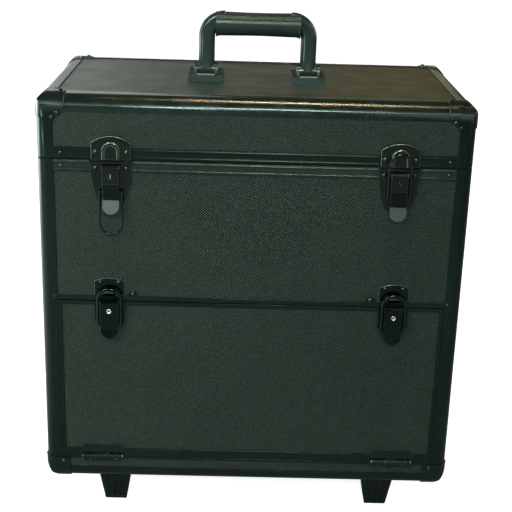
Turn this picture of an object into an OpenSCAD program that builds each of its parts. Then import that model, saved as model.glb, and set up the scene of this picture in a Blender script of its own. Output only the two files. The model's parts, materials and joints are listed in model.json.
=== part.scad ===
// Makeup train case: hinged lid over an upper compartment with a lift tray,
// drop-down door over a lower compartment, four wire-bail latches,
// folding carry handle, front feet, rear wheels and a telescopic handle.

/* [Case] */
// Width over the corner profiles
case_w = 400; // [360:1:440]
// Depth over the corner profiles
case_d = 218; // [200:1:260]
// Height of body and closed lid, without feet and handle
case_h = 389; // [370:1:420]
// Height of the lid
lid_h = 60; // [50:1:80]
// Height of the feet
leg_h = 32; // [28:1:40]
// Rounding of the corner profiles
edge_r = 9; // [6:0.5:12]
// Rounding of the lid profiles at the front and back
lid_r = 16; // [10:0.5:16]
// Rounding of the upper case corners seen from the front
corner_r = 14; // [10:0.5:18]
// Rounding of the lower case corners seen from the front
base_r = 20; // [14:0.5:22]
// Thickness of the aluminium profiles
prof_t = 1.4; // [1:0.1:2]
// Thickness of the boards
panel_t = 4; // [3:0.5:6]
// Thickness of the inner lining
lining_t = 1; // [0.6:0.1:2]

/* [Door] */
// Top of the door opening above the case bottom
door_top = 191; // [160:1:210]
// Parting line between sill and door above the case bottom
door_bottom = 24; // [20:1:30]
// Visible height of the front rail
rail_h = 4.5; // [4:0.5:8]

/* [Latches] */
// Distance of the upper latches from the case sides
upper_in = 68; // [50:1:90]
// Distance of the lower latches from the case sides
lower_in = 65; // [50:1:90]
// Width of the upper latch plates
upper_w = 36; // [30:1:40]
// Width of the lower latch plates
lower_w = 28.5; // [24:0.5:34]
// Diameter of the bail wire
wire_d = 2.2; // [1.8:0.1:2.6]

/* [Handle] */
// Width over the handle arms
handle_w = 115; // [100:1:140]
// Rise of the handle above the lid
handle_rise = 64; // [50:1:80]
// Width of a handle arm
arm_w = 15.7; // [12:0.1:18]
// Diameter of the grip
grip_d = 23; // [18:0.5:26]
// Distance of the handle brackets from the middle
bracket_x = 50; // [40:0.5:60]

/* [Wheels and telescopic handle] */
// Diameter of the rear wheels
wheel_d = 46; // [40:1:50]
// Width of the rear wheels
wheel_w = 20; // [14:1:24]
// Distance of the telescopic tubes from the middle
tube_x = 62; // [50:1:75]
// Travel of each telescopic stage
stage_travel = 230; // [150:5:240]

/* [Tray] */
// Height of the lift tray
tray_h = 34; // [28:1:36]
// Depth of the lift tray
tray_d = 90; // [80:1:92]

/* [Hidden] */
$fn = 64;
eps = 0.01;
y_shift = -6.135;
hw = case_w/2;
hd = case_d/2;
z0 = leg_h;
z_top = leg_h + case_h;
z_part = z_top - lid_h;
gap = 0.6;
z_body = z_part - gap;
z_lid = z_part + gap;
leg_v = 15.5;
base_leg = 14;
lid_leg = 16;
rim_h = 10.8;
panel_y = hd - prof_t;
panel_x = hw - prof_t;
in_x = panel_x - panel_t;
in_y = panel_y - panel_t;
line_x = in_x - lining_t;
line_y = in_y - lining_t;
z_in = z0 + prof_t + 5;
z_door_b = z0 + door_bottom;
z_door_t = z0 + door_top;
z_shelf = z_door_t + 0.4;
shelf_t = 5;
door_x = hw - leg_v - 0.3;
cap_t = 1;
z_rail = z_door_t + 0.6;
upper_x = hw - upper_in;
lower_x = hw - lower_in;
rail_tab_x = lower_x - 22;
rim_rivet_x = hw - 22;
side_rivet_in = 40;
// latch section, measured outward from the case middle
base_y = hd + 2.2;
lever_py = hd + 5.4;
lever_back = hd + 2.6;
lever_front = hd + 8.2;
lever_mid = hd + 7.2;
lever_tip = hd + 10;
bail_y = hd + 5.6;
wire_r = wire_d/2;
// upper latch: plate height, straight part and half width of its tip, then lever and bail
up_plate = 38;
up_straight = 14;
up_tip = 12;
up_half = 7.6;
up_p = z_body - 5.9;
up_b = up_p - 21.5;
up_len = 41;
up_leg = 10.3;
// lower latch
lo_plate = 24;
lo_straight = 18;
lo_tip = 11.5;
lo_half = 8.6;
lo_p = z_door_t - 0.4;
lo_b = lo_p - 21.9;
lo_len = 36.3;
lo_leg = 11;
lo_plug = lo_p - 6.9;
lo_plug_r = 2.3;
// hinges
rear_r = 3.2;
rear_pin = 1.6;
rear_y = hd + 3.5;
rear_x = hw - 80;
rear_w = 60;
rear_leaf = 24;
sill_r = 2.4;
sill_pin = 1.1;
sill_y = hd + 2.6;
sill_z = z_door_b + 2;
sill_x = hw - 56;
sill_w = 39;
sill_leaf = 14.5;
run = 0.05;
// handle
pivot_z = z_top + 7;
arm_x = handle_w/2 - arm_w/2;
arm_t = 12;
bend_r = 25 - arm_w/2;
bar_z = z_top + handle_rise - arm_w/2;
grip_z = bar_z - 4.7;
grip_half = arm_x - arm_w/2 - 0.8;
handle_pin = 2.5;
// wheels
wheel_r = wheel_d/2;
wheel_y = hd - 9;
well_out = 9;
wheel_x = hw - wheel_w/2 - 14;
well_x = wheel_x - wheel_w/2 - 9;
well_y = wheel_y - wheel_r - 7;
well_top = wheel_d + 10;
axle_r = 3;
// front feet
foot_x = hw - 67;
foot_in = 24;
foot_low = 21.5;
foot_top = 32;
// telescopic handle
tube_y = hd + 7.8;
tube_w = 20;
tube_d = 13;
tube_low = z0 + 14;
foot_bracket = 24;
bracket_z = tube_low + foot_bracket/2;
bracket_w = 2*tube_x + tube_w + 20;
bracket_out = tube_y + tube_d/2 + 2;
bracket_hole = tube_x - tube_w/2 - 8;
trolley_w = 2*tube_x + tube_w + 6;
grip_top = z_part - 13;
grip_h = 22;
collar_top = grip_top - grip_h - 8;
// lift tray
swing_l = 62;
swing_a = 10;
tray_top = z_body - 4.4;
tray_z = tray_top - tray_h;
strip_t = 2;
layer_gap = 0.6;
arm_out = line_x - 1.4;
arm_in = arm_out - strip_t;
link_out = arm_in - layer_gap;
link_in = link_out - strip_t;
tray_x = link_in - 1.6;
tray_front = hd - 10;
tray_back = tray_front - tray_d;
rod_z = tray_z - 4;
rod_r = 2;
rod_fy = tray_front - 11;
rod_ry = tray_back + 7;
arm_fy = -rod_fy + swing_l*cos(swing_a);
arm_ry = -rod_ry + swing_l*cos(swing_a);
arm_z = rod_z + swing_l*sin(swing_a);
drive_y = -45;
drive_z = 14;

// ---- shared helpers ----

module place() {
    translate([0, y_shift, 0]) children();
}

module both_x() {
    children();
    mirror([1, 0, 0]) children();
}

module both_y() {
    children();
    mirror([0, 1, 0]) children();
}

// box given by its two corners
module block(a, b) {
    translate(a) cube(b - a);
}

// rounded rectangle, centred
module round_rect(w, d, r) {
    square([w - 2*r, d], center = true);
    square([w, d - 2*r], center = true);
    for (x = [-1, 1]) {
        for (y = [-1, 1]) {
            translate([x*(w/2 - r), y*(d/2 - r)]) circle(r);
        }
    }
}

// profile drawn in Y and Z, extruded from x0 to x1
module along_x(x0, x1) {
    translate([x0, 0, 0]) rotate([90, 0, 90]) linear_extrude(x1 - x0) children();
}

// profile drawn in X and Z, extruded from y0 to y1
module along_y(y0, y1) {
    translate([0, y1, 0]) rotate([90, 0, 0]) linear_extrude(y1 - y0) children();
}

module rod_x(x0, x1, y, z, r) {
    translate([x0, y, z]) rotate([0, 90, 0]) cylinder(r = r, h = x1 - x0);
}

module rod_y(y0, y1, x, z, r) {
    translate([x, y1, z]) rotate([90, 0, 0]) cylinder(r = r, h = y1 - y0);
}

// domed rivet head standing on the plane z = 0
module rivet(r = 2.3, h = 1.3) {
    ball = (r*r + h*h)/(2*h);
    intersection() {
        translate([0, 0, h - ball]) sphere(ball);
        cylinder(r = r + 1, h = h + 1);
    }
}

module front_rivet(x, y, z, r = 2.3, h = 1.3) {
    translate([x, -y, z]) rotate([90, 0, 0]) rivet(r, h);
}

module back_rivet(x, y, z, r = 2.3, h = 1.3) {
    translate([x, y, z]) rotate([-90, 0, 0]) rivet(r, h);
}

module side_rivet(x, y, z, r = 2.3, h = 1.3) {
    translate([x, y, z]) rotate([0, 90, 0]) rivet(r, h);
}

// upright outline of the case, with upper corners rt and lower corners rb
module upright_form(w, h, rt, rb) {
    translate([-w/2, rb - h/2]) square([w, h - rb - rt]);
    translate([rt - w/2, 0]) square([w - 2*rt, h/2]);
    translate([rb - w/2, -h/2]) square([w - 2*rb, h/2]);
    for (x = [-1, 1]) {
        translate([x*(w/2 - rt), h/2 - rt]) circle(rt);
        translate([x*(w/2 - rb), rb - h/2]) circle(rb);
    }
}

// whole rounded case, drawn in by o on every side
module case_form(o) {
    w = case_w - 2*o;
    d = case_d - 2*o;
    h = case_h - 2*o;
    translate([0, 0, leg_h + case_h/2]) intersection() {
        linear_extrude(h, center = true) round_rect(w, d, edge_r - o);
        rotate([90, 0, 0]) linear_extrude(d, center = true)
            upright_form(w, h, corner_r - o, base_r - o);
        rotate([90, 0, 90]) linear_extrude(w, center = true)
            upright_form(d, h, lid_r - o, edge_r - o);
    }
}

// profile skin between two offsets, kept inside the children
module skin(o, i) {
    intersection() {
        difference() {
            case_form(o);
            case_form(i);
        }
        children();
    }
}

module columns(za, zb) {
    both_x() both_y() block([hw - leg_v, hd - leg_v, za], [hw + 5, hd + 5, zb]);
}

module ring(za, zb, wx, wy) {
    difference() {
        block([-hw - 5, -hd - 5, za], [hw + 5, hd + 5, zb]);
        block([-wx, -wy, za - 1], [wx, wy, zb + 1]);
    }
}

// space taken out of the body by the wheel housings
module wheel_wells() {
    both_x() block([well_x, well_y, z0 - 20], [hw + 10, hd + 30, well_top]);
}

// ---- body ----

module bottom_panel() {
    color([0.09, 0.11, 0.10]) place() difference() {
        intersection() {
            case_form(prof_t);
            block([-in_x, -in_y, z0], [in_x, in_y, z_in]);
        }
        wheel_wells();
    }
}

module back_panel() {
    color([0.17, 0.22, 0.19]) place() difference() {
        intersection() {
            case_form(prof_t);
            block([-in_x, in_y, z0], [in_x, hd, z_body]);
        }
        wheel_wells();
    }
}

module side_board() {
    difference() {
        intersection() {
            case_form(prof_t);
            block([in_x, -hd, z0], [hw, hd, z_body]);
        }
        wheel_wells();
    }
}

module left_panel() {
    color([0.17, 0.22, 0.19]) place() mirror([1, 0, 0]) side_board();
}

module right_panel() {
    color([0.17, 0.22, 0.19]) place() side_board();
}

module front_panel() {
    color([0.17, 0.22, 0.19]) place() difference() {
        intersection() {
            case_form(prof_t);
            block([-in_x, -hd, z0], [in_x, -in_y, z_body]);
        }
        block([-door_x - 0.2, -hd - 1, z_door_b], [door_x + 0.2, -in_y + 1, z_door_t + 0.2]);
    }
}

module mid_shelf() {
    color([0.09, 0.11, 0.10]) place()
        block([-in_x, -in_y, z_shelf], [in_x, in_y, z_shelf + shelf_t]);
}

module corner_posts() {
    color([0.09, 0.13, 0.12]) place() difference() {
        skin(0, prof_t) columns(z0 + base_r, z_body);
        wheel_wells();
    }
}

module base_profiles() {
    color([0.09, 0.13, 0.12]) place() difference() {
        skin(0, prof_t) ring(z0 - 5, z0 + 12, hw - base_leg, hd - base_leg);
        wheel_wells();
    }
    color([0.09, 0.13, 0.12]) place() difference() {
        skin(0, prof_t) columns(z0 + 12, z0 + base_r);
        wheel_wells();
    }
}

// half-round beads along a rim, left out under latch plates and hinge leaves
module beads(za, zb, r) {
    for (z = [za, zb]) {
        difference() {
            both_y() rod_x(-hw + leg_v, hw - leg_v, hd - 0.5, z, r);
            both_x() block([upper_x - upper_w/2 - 2, -hd - 5, z - 5],
                [upper_x + upper_w/2 + 2, -hd + 5, z + 5]);
            both_x() block([rear_x - rear_w/2 - 1, hd - 5, z - 5],
                [rear_x + rear_w/2 + 1, hd + 5, z + 5]);
        }
        both_x() rod_y(-hd + leg_v, hd - leg_v, hw - 0.5, z, r);
    }
}

module rim(za, zb, ba, bb) {
    difference() {
        union() {
            skin(0, prof_t) difference() {
                ring(za, zb, hw - 30, hd - 30);
                columns(za - 1, zb + 1);
            }
            beads(ba, bb, 1.3);
        }
        case_form(prof_t);
    }
}

module body_rim() {
    color([0.10, 0.15, 0.13]) place()
        rim(z_body - rim_h, z_body, z_body - rim_h + 2, z_body - 2);
}

module front_rails() {
    color([0.10, 0.15, 0.13]) place() {
        block([-hw + leg_v, -hd, z_rail], [hw - leg_v, -panel_y, z_rail + rail_h]);
        both_x() along_y(-hd, -panel_y) translate([rail_tab_x, z_rail + rail_h]) difference() {
            circle(5.5);
            translate([-6, -12]) square(12);
        }
        block([-hw + leg_v, -hd, z_door_b - 2.4], [hw - leg_v, -panel_y, z_door_b]);
    }
}

// corner armour: three arms that meet in the corner, standing on z = 0
module cap_zone(along, up) {
    block([hw - along, hd - 16, 0], [hw + 5, hd + 5, 16]);
    block([hw - 16, hd - along, 0], [hw + 5, hd + 5, 16]);
    block([hw - 16, hd - 16, 0], [hw + 5, hd + 5, up]);
}

// rounded ear of a base cap beside the corner post, up to the height zt
module cap_ear(zt) {
    translate([hw - 23.5, z0 + base_leg]) {
        square([24 - leg_v, zt - z0 - base_leg - 3]);
        translate([3, 0]) square([21 - leg_v, zt - z0 - base_leg]);
        translate([3, zt - z0 - base_leg - 3]) circle(3);
    }
}

module base_corner_caps() {
    color([0.07, 0.10, 0.09]) place() both_x() mirror([0, 1, 0]) {
        skin(-cap_t, 0) translate([0, 0, z0 - cap_t - 0.5]) cap_zone(23.5, 24.5);
        along_y(hd, hd + cap_t) cap_ear(z0 + 22.5);
        along_y(panel_y, hd) intersection() {
            cap_ear(z0 + 22.5);
            translate([hw - 30, z0]) square([30 - leg_v, door_bottom - 2.6]);
        }
    }
}

module body_rivets() {
    color([0.22, 0.27, 0.25]) place() both_x() {
        front_rivet(rim_rivet_x, hd, z_body - rim_h/2, 2, 1.2);
        back_rivet(rim_rivet_x, hd, z_body - rim_h/2, 2, 1.2);
        front_rivet(hw - 17, hd + cap_t, z0 + 18.6, 2.1, 1.3);
        front_rivet(hw - 13, hd, z_rail + rail_h*0.75, 1.7, 1);
        front_rivet(rail_tab_x, hd, z_rail + rail_h + 2.2, 2.5, 1.6);
        front_rivet(upper_x - 14, base_y, z_body - 6, 2.2, 1.2);
        front_rivet(upper_x + 14, base_y, z_body - 6, 2.2, 1.2);
        front_rivet(lower_x - 8.6, panel_y + 1.6, z_door_t + 19.5, 1.9, 1.1);
        front_rivet(lower_x + 8.6, panel_y + 1.6, z_door_t + 19.5, 1.9, 1.1);
        for (dx = [-13, 13]) {
            front_rivet(sill_x + dx, hd + 1.2, z_door_b - 2.2, 1.7, 0.9);
            back_rivet(rear_x + dx*1.6, hd + 1.5, z_body - 14, 2.2, 1.2);
        }
        side_rivet(hw, hd - side_rivet_in, z_body - rim_h/2, 2, 1.2);
        side_rivet(hw, -hd + side_rivet_in, z_body - rim_h/2, 2, 1.2);
        side_rivet(hw + cap_t, -hd + 12, z0 + 20.3, 2, 1.2);
    }
}

module case_lining() {
    color([0.05, 0.05, 0.055]) place() {
        difference() {
            block([-in_x, -in_y, z_shelf + shelf_t], [in_x, in_y, z_body - 2]);
            block([-line_x, -line_y, z_shelf + shelf_t + lining_t], [line_x, line_y, z_body]);
        }
        difference() {
            intersection() {
                block([-in_x, -in_y + 2, z_in], [in_x, in_y, z_shelf]);
                case_form(prof_t);
            }
            intersection() {
                block([-line_x, -in_y - 1, z_in + lining_t], [line_x, line_y, z_shelf - lining_t]);
                case_form(prof_t + 1);
            }
            wheel_wells();
        }
    }
}

// knuckles number k, k+2, ... of n along a hinge, plus a leaf that carries them
module leaf(w, n, k, r, bore, y, zc, za, zb, face, t) {
    step = w/n;
    difference() {
        union() {
            block([-w/2, face, za], [w/2, face + t, zb]);
            for (i = [k : 2 : n - 1]) {
                rod_x(-w/2 + i*step + 0.15, -w/2 + (i + 1)*step - 0.15, y, zc, r);
                block([-w/2 + i*step + 0.15, face, min(za, zc)],
                    [-w/2 + (i + 1)*step - 0.15, face + t, max(zb, zc)]);
            }
        }
        rod_x(-w, w, y, zc, bore);
    }
}

module case_hinge_leaves() {
    color([0.20, 0.23, 0.22]) place() {
        for (x = [-rear_x, rear_x]) {
            translate([x, 0, 0]) leaf(rear_w, 5, 0, rear_r, rear_pin, rear_y, z_part,
                z_part - rear_leaf, z_part - 3.6, hd, 1.5);
        }
        for (x = [-sill_x, sill_x]) {
            translate([x, 0, 0]) mirror([0, 1, 0]) leaf(sill_w, 3, 0, sill_r, sill_pin, sill_y, sill_z,
                z_door_b - 4.6, sill_z - 2.7, hd, 1.2);
        }
    }
}

module steel_pins() {
    color([0.62, 0.63, 0.62]) place() {
        for (x = [-rear_x, rear_x]) {
            rod_x(x - rear_w/2 - 0.8, x + rear_w/2 + 0.8, rear_y, z_part, rear_pin);
        }
        for (x = [-sill_x, sill_x]) {
            rod_x(x - sill_w/2 - 0.6, x + sill_w/2 + 0.6, -sill_y, sill_z, sill_pin);
        }
        both_x() rod_x(well_x + 1, hw - 3, wheel_y, wheel_r, axle_r);
    }
}

// ---- latches ----

// plate with a tapering lower end, top at z = 0, drawn in X and Z
module base_outline(w, h, straight, tip) {
    polygon([[-w/2, 0], [w/2, 0], [w/2, -straight], [w/2 - 3, -straight - (h - straight)*0.6],
        [tip, -h], [-tip, -h], [-w/2 + 3, -straight - (h - straight)*0.6], [-w/2, -straight]]);
}

// base plate, pin and cheeks of a latch, zt is the plate's top and zp the pin's height
module latch_base(w, h, straight, tip, zt, zp, half, cheek, pad) {
    along_y(-base_y, -hd) translate([0, zt]) base_outline(w, h, straight, tip);
    along_y(-hd, -panel_y) intersection() {
        translate([0, zt]) base_outline(w, h, straight, tip);
        translate([-w, zt - pad - 60]) square([2*w, 60]);
    }
    both_x() along_x(half + 0.15, half + 0.15 + cheek) {
        translate([-lever_py, zp]) circle(2.6);
        translate([-lever_py - 0.6, zp - 2.6]) square([lever_py - base_y + 0.7, 5.2]);
    }
    rod_x(-half - 0.2, half + 0.2, -lever_py, zp, 1.2);
}

module latch_bases() {
    color([0.06, 0.08, 0.07]) place() for (x = [-upper_x, upper_x]) {
        translate([x, 0, 0]) {
            latch_base(upper_w, up_plate, up_straight, up_tip, z_body - 0.2, up_p, up_half, 1.2, 10.8);
            block([-19.5, -hd - 4.2, z_body - 1.8], [19.5, -hd, z_body - 0.2]);
        }
    }
}

module door_latch_bases() {
    color([0.06, 0.08, 0.07]) place() for (x = [-lower_x, lower_x]) {
        translate([x, 0, 0])
            latch_base(lower_w, lo_plate, lo_straight, lo_tip, z_door_t - 1.2, lo_p, lo_half, 0.9, 2.9);
    }
}

module lid_strikes() {
    arc_r = 29.2;
    plate_h = 22;
    color([0.06, 0.08, 0.07]) place() for (x = [-upper_x, upper_x]) {
        translate([x, 0, z_lid + 0.2]) {
            along_y(-hd - 2.6, -hd) intersection() {
                translate([-upper_w/2, 0]) square([upper_w, plate_h]);
                translate([0, plate_h - arc_r]) circle(arc_r, $fn = 128);
            }
            along_y(-hd, -panel_y) intersection() {
                translate([-upper_w/2, rim_h + 0.2]) square([upper_w, plate_h]);
                translate([0, plate_h - arc_r]) circle(arc_r, $fn = 128);
            }
            along_y(-hd - 4.2, -hd - 2.6) difference() {
                union() {
                    translate([0, 8]) circle(8);
                    translate([-8, 0]) square([16, 8]);
                }
                translate([0, 7.6]) circle(5.8);
                translate([-5.8, -1]) square([11.6, 8.6]);
            }
            along_y(-hd - 3.4, -hd - 2.6) {
                translate([0, 7.6]) circle(5.8);
                translate([-5.8, 0]) square([11.6, 7.6]);
            }
        }
    }
}

module door_strikes() {
    color([0.06, 0.08, 0.07]) place() for (x = [-lower_x, lower_x]) {
        translate([x, 0, z_door_t]) {
            along_y(-panel_y - 1.6, -panel_y) intersection() {
                translate([-lower_w/2, 6.4]) square([lower_w, 18]);
                translate([0, -6.5]) circle(30, $fn = 128);
            }
            intersection() {
                along_x(-6.5, 6.5) polygon([[-panel_y - 1.6, 6.4], [-panel_y - 1.6, 14], [-hd - 1.6, 14],
                    [-hd - 4.4, 12.65], [-hd - 7.4, 12.3], [-hd - 7.4, 10.7], [-hd - 3, 6.4]]);
                along_y(-hd - 9, -hd + 5) {
                    translate([0, 6.2]) circle(6.5);
                    translate([-6.5, 0]) square([13, 6.2]);
                }
            }
        }
    }
}

// lever hanging from its pin, with a raised lock square, a plain middle and a flared tip
module lever(half, zp, square_h, tip_z, flare_h, zb, plug_r, plug_z, thumb) {
    difference() {
        intersection() {
            union() {
                along_x(-half, half) translate([-lever_py, zp]) circle(2.8);
                along_x(-half, half) translate([-lever_front, zp - square_h]) square([5.6, square_h]);
                along_x(-half, half)
                    translate([-lever_mid, tip_z + flare_h]) square([4.6, zp - tip_z - flare_h - 1]);
                along_x(-half, half) polygon([[-lever_back, tip_z + flare_h + 0.5],
                    [-lever_mid + 1, tip_z + flare_h + 0.5], [-lever_mid + 1, tip_z + flare_h],
                    [-lever_tip, tip_z - 1], [-lever_tip + 2.2, tip_z - 1],
                    [-lever_back, tip_z + flare_h - 5]]);
            }
            along_y(-hd - 20, -hd) {
                translate([-half, tip_z + thumb]) square([2*half, 100]);
                translate([0, tip_z + thumb]) intersection() {
                    circle(half*1.02);
                    translate([-half, -thumb]) square([2*half, thumb + 1]);
                }
            }
        }
        rod_x(-half - 1, half + 1, -lever_py, zp, 1.2 + run);
        both_x() rod_x(half - 2.5, half + 1, -bail_y, zb, wire_r + run);
        rod_y(-lever_front - 1, -lever_front + 3.6, 0, plug_z, plug_r + run);
    }
}

// wire bail: legs, a round top and two inward ends, standing up from its pivots at z = 0
module bail_loop(leg_x, len, half) {
    both_x() {
        translate([leg_x, 0, 0]) cylinder(r = wire_r, h = len - leg_x);
        translate([leg_x, 0, 0]) sphere(wire_r);
        rod_x(half - 2.3, leg_x, 0, 0, wire_r);
        translate([0, 0, len - leg_x]) rotate([90, 0, 0])
            rotate_extrude(angle = 90) translate([leg_x, 0]) circle(wire_r);
    }
}

module upper_lever(x) {
    color([0.08, 0.10, 0.09]) place() translate([x, 0, 0])
        lever(up_half, up_p, 14.5, z_part - 49, 13, up_b, 3, up_p - 6.5, 7.6);
}

module lower_lever(x) {
    color([0.06, 0.08, 0.07]) place() translate([x, 0, 0])
        lever(lo_half, lo_p, 15.7, z_door_t - 34.6, 8, lo_b, lo_plug_r, lo_plug, 8.6);
}

module upper_left_lever() {
    upper_lever(-upper_x);
}

module upper_right_lever() {
    upper_lever(upper_x);
}

module lower_left_lever() {
    lower_lever(-lower_x);
}

module lower_right_lever() {
    lower_lever(lower_x);
}

module upper_left_bail() {
    color([0.10, 0.13, 0.12]) place() translate([-upper_x, -bail_y, up_b])
        mirror([0, 0, 1]) bail_loop(up_leg, up_len, up_half);
}

module upper_right_bail() {
    color([0.10, 0.13, 0.12]) place() translate([upper_x, -bail_y, up_b])
        bail_loop(up_leg, up_len, up_half);
}

module lower_bail(x) {
    color([0.10, 0.13, 0.12]) place() translate([x, -bail_y, lo_b])
        bail_loop(lo_leg, lo_len, lo_half);
}

module lower_left_bail() {
    lower_bail(-lower_x);
}

module lower_right_bail() {
    lower_bail(lower_x);
}

// key plug turning in its lever, with a slot turned by a degrees
module plug(r, front, a, slot_w, slot_l) {
    difference() {
        rod_y(-front, -lever_front + 3.5, 0, 0, r);
        rotate([0, a, 0]) block([-slot_w/2, -front - 1, -slot_l/2], [slot_w/2, -front + 1, slot_l/2]);
    }
}

module upper_left_plug() {
    color([0.55, 0.58, 0.56]) place() translate([-upper_x, 0, up_p - 6.5])
        plug(3, lever_front + 0.3, 0, 1.4, 4.6);
}

module upper_right_plug() {
    color([0.55, 0.58, 0.56]) place() translate([upper_x, 0, up_p - 6.5])
        plug(3, lever_front + 0.3, -30, 1.4, 4.6);
}

module lower_left_plug() {
    color([0.78, 0.78, 0.76]) place() translate([-lower_x, 0, lo_plug])
        plug(lo_plug_r, lever_front + 0.9, 0, 0.9, 2.8);
}

module lower_right_plug() {
    color([0.78, 0.78, 0.76]) place() translate([lower_x, 0, lo_plug])
        plug(lo_plug_r, lever_front + 0.9, 0, 0.9, 2.8);
}

// ---- feet and wheels ----

module taper(w0, w1, h) {
    polygon([[-w0/2, 0], [w0/2, 0], [w1/2, h], [-w1/2, h]]);
}

module foot_form(o) {
    intersection() {
        along_y(-foot_top, foot_top) taper(foot_low - 2*o, foot_top - 2*o, leg_h);
        along_x(-foot_top, foot_top) taper(foot_low - 1.5 - 2*o, foot_top - 3 - 2*o, leg_h);
    }
}

module front_feet() {
    color([0.08, 0.10, 0.10]) place() for (x = [-foot_x, foot_x]) {
        translate([x, -hd + foot_in, 0]) difference() {
            foot_form(0);
            difference() {
                for (i = [-1, 0, 1]) {
                    along_y(-foot_top, foot_top) polygon([
                        [i*foot_low/4 - 1, 3], [i*foot_low/4 + 1, 3],
                        [i*foot_top/4 + 1.3, leg_h - 2.5], [i*foot_top/4 - 1.3, leg_h - 2.5]]);
                }
                foot_form(1);
            }
        }
    }
}

module housing_body() {
    difference() {
        intersection() {
            block([well_x, well_y, leg_h/2], [hw + 2, hd + well_out, well_top]);
            linear_extrude(well_top + 1)
                round_rect(case_w + 1.6, case_d + 2*well_out, edge_r + 1);
        }
        block([wheel_x - wheel_w/2 - 4, well_y + 3, 0],
            [wheel_x + wheel_w/2 + 4, hd + 20, well_top - 3.5]);
        rod_x(well_x - 1, hw - 2, wheel_y, wheel_r, axle_r);
    }
}

module wheel_housings() {
    color([0.05, 0.06, 0.06]) place() both_x() difference() {
        housing_body();
        rod_x(well_x + 1, hw - 3, wheel_y, wheel_r, axle_r);
    }
}

module wheel(s) {
    translate([s*wheel_x, wheel_y, wheel_r]) rotate([0, 90, 0]) rotate_extrude() polygon([
        [axle_r + run, -wheel_w/2 - 1], [7, -wheel_w/2 - 1], [7, -wheel_w/2 + 2.5], [15, -wheel_w/2 + 2.5],
        [16.5, -wheel_w/2], [wheel_r - 2, -wheel_w/2], [wheel_r, -wheel_w/2 + 3], [wheel_r, wheel_w/2 - 3],
        [wheel_r - 2, wheel_w/2], [16.5, wheel_w/2], [15, wheel_w/2 - 2.5], [7, wheel_w/2 - 2.5],
        [7, wheel_w/2 + 1], [axle_r + run, wheel_w/2 + 1]]);
}

module left_wheel() {
    color([0.12, 0.12, 0.12]) place() wheel(-1);
}

module right_wheel() {
    color([0.12, 0.12, 0.12]) place() wheel(1);
}

// ---- telescopic handle ----

// pair of rectangular tubes from za to zb
module tube_pair(w, d, wall, za, zb) {
    for (x = [-tube_x, tube_x]) {
        translate([x, tube_y, za]) linear_extrude(zb - za) difference() {
            round_rect(w, d, 3);
            round_rect(w - 2*wall, d - 2*wall, 3 - wall);
        }
    }
}

module tube_bores(w, d, za, zb) {
    for (x = [-tube_x, tube_x]) {
        translate([x, tube_y, za]) linear_extrude(zb - za) round_rect(w, d, 3);
    }
}

module trolley_tubes() {
    color([0.30, 0.33, 0.32]) place()
        tube_pair(tube_w, tube_d, 1.2, tube_low, collar_top - 1);
}

module trolley_brackets() {
    color([0.05, 0.06, 0.06]) place() {
        difference() {
            along_y(panel_y, bracket_out) translate([0, bracket_z]) round_rect(bracket_w, foot_bracket, 5);
            tube_bores(tube_w, tube_d, tube_low, z0 + 60);
            block([-bracket_hole, hd + 4, z0], [bracket_hole, hd + 30, z0 + 50]);
        }
        difference() {
            along_y(panel_y, bracket_out) translate([0, collar_top - 9]) round_rect(bracket_w, 18, 5);
            tube_bores(tube_w, tube_d, collar_top - 40, collar_top - 1);
            tube_bores(tube_w - 2, tube_d - 2, collar_top - 2, collar_top + 1);
            block([-bracket_hole, hd + 4, z0], [bracket_hole, hd + 30, z_top]);
        }
    }
}

module trolley_middle_stage() {
    color([0.42, 0.45, 0.44]) place() {
        tube_pair(tube_w - 2.8, tube_d - 2.8, 1, z0 + 24, collar_top + 1);
        difference() {
            translate([0, tube_y, collar_top + 1]) linear_extrude(6) round_rect(trolley_w, 14, 6);
            tube_bores(tube_w - 4.8, tube_d - 4.8, collar_top, collar_top + 10);
        }
    }
}

module trolley_inner_stage() {
    color([0.50, 0.53, 0.52]) place()
        tube_pair(tube_w - 5.2, tube_d - 5.2, 1, z0 + 28, grip_top - 12);
}

module trolley_grip() {
    color([0.05, 0.06, 0.06]) place() difference() {
        intersection() {
            translate([0, hd + 12, grip_top - grip_h/2]) rotate([0, 90, 0])
                linear_extrude(trolley_w, center = true) round_rect(grip_h, 20, 7);
            along_y(0, hd + 40) translate([0, grip_top - grip_h/2]) round_rect(trolley_w, grip_h, 9);
        }
        tube_bores(tube_w - 5.2, tube_d - 5.2, grip_top - 40, grip_top - 12);
        block([-15.2, hd + 7.8, grip_top - 8], [15.2, hd + 16.2, grip_top + 1]);
    }
}

module trolley_button() {
    color([0.35, 0.37, 0.36]) place()
        block([-15, hd + 8, grip_top - 4.5], [15, hd + 16, grip_top + 0.5]);
}

// ---- lid ----

module lid_top() {
    color([0.22, 0.25, 0.21]) place() intersection() {
        case_form(prof_t);
        block([-hw, -hd, z_top - prof_t - panel_t], [hw, hd, z_top]);
    }
}

module lid_walls() {
    color([0.17, 0.22, 0.19]) place() intersection() {
        case_form(prof_t);
        difference() {
            block([-hw, -hd, z_lid], [hw, hd, z_top - prof_t - panel_t]);
            block([-in_x, -in_y, z_lid - 1], [in_x, in_y, z_top]);
        }
    }
}

module lid_profiles() {
    color([0.09, 0.13, 0.12]) place() skin(0, prof_t) {
        ring(z_top - lid_leg, z_top + 5, hw - 17, hd - lid_leg);
        columns(z_lid, z_top - lid_leg);
    }
}

module lid_rim() {
    color([0.10, 0.15, 0.13]) place()
        rim(z_lid, z_lid + rim_h, z_lid + 2, z_lid + rim_h - 2);
}

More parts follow.
